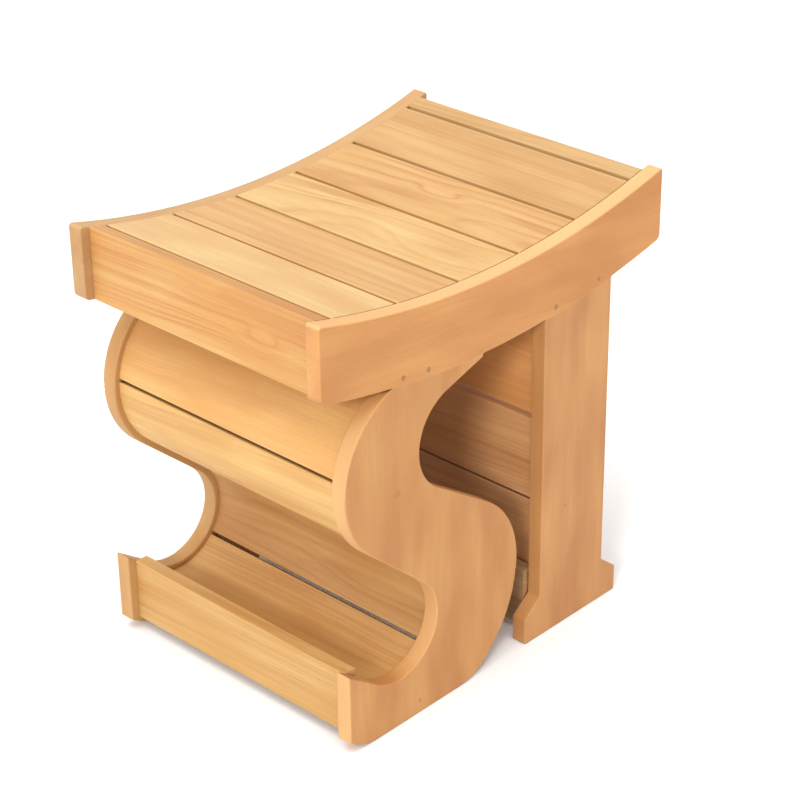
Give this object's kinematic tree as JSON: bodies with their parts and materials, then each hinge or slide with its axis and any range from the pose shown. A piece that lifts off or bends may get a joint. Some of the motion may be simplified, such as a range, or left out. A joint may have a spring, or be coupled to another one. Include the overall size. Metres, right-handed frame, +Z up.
{
  "type": "shower stool",
  "caption": "Slatted wooden shower stool with a dished seat, an S-shaped slatted front that forms a towel niche, and a slatted rear leg frame.",
  "frame": {"origin": "middle of the stool's base on the floor", "axes": "+X to the right along the seat slats, +Y from the S-shaped front to the rear legs, +Z up"},
  "size_m": [0.328, 0.472, 0.4581],
  "materials": {
    "rail_left_wood": "satin oiled teak, grain along the rail",
    "rail_right_wood": "satin oiled teak, grain along the rail",
    "apron_front_wood": "satin oiled teak, golden",
    "apron_rear_wood": "satin oiled teak",
    "seat_slat_1_wood": "satin oiled teak, pale",
    "seat_slat_2_wood": "satin oiled teak, pink tan",
    "seat_slat_3_wood": "satin oiled teak, golden",
    "seat_slat_4_wood": "satin oiled teak, tan",
    "seat_slat_5_wood": "satin oiled teak, pink tan",
    "cleat_wood": "plain teak",
    "s_panel_left_wood": "satin oiled teak, upright grain",
    "s_panel_right_wood": "satin oiled teak, upright grain",
    "s_slat_1_wood": "satin oiled teak",
    "s_slat_2_wood": "satin oiled teak, golden",
    "s_slat_3_wood": "satin oiled teak",
    "s_slat_4_wood": "satin oiled teak",
    "s_slat_5_wood": "satin oiled teak",
    "foot_board_wood": "satin oiled teak",
    "leg_left_wood": "satin oiled teak, upright grain",
    "leg_right_wood": "satin oiled teak, upright grain",
    "back_slat_1_wood": "satin oiled teak",
    "back_slat_2_wood": "satin oiled teak",
    "back_slat_3_wood": "satin oiled teak",
    "pin_wood": "end grain of a turned teak pin"
  },
  "bodies": {
    "root": {"seat_rail_left": "rail_left_wood", "seat_rail_right": "rail_right_wood", "apron_front": "apron_front_wood", "apron_rear": "apron_rear_wood", "seat_slat_1": "seat_slat_1_wood", "seat_slat_2": "seat_slat_2_wood", "seat_slat_3": "seat_slat_3_wood", "seat_slat_4": "seat_slat_4_wood", "seat_slat_5": "seat_slat_5_wood", "seat_cleat_left": "cleat_wood", "seat_cleat_right": "cleat_wood", "s_panel_left": "s_panel_left_wood", "s_panel_right": "s_panel_right_wood", "s_slat_1": "s_slat_1_wood", "s_slat_2": "s_slat_2_wood", "s_slat_3": "s_slat_3_wood", "s_slat_4": "s_slat_4_wood", "s_slat_5": "s_slat_5_wood", "foot_board_front": "foot_board_wood", "rear_leg_left": "leg_left_wood", "rear_leg_right": "leg_right_wood", "back_slat_1": "back_slat_1_wood", "back_slat_2": "back_slat_2_wood", "back_slat_3": "back_slat_3_wood", "foot_board_rear": "foot_board_wood", "joint_pins_left": "pin_wood", "joint_pins_right": "pin_wood"}
  },
  "joints": []
}
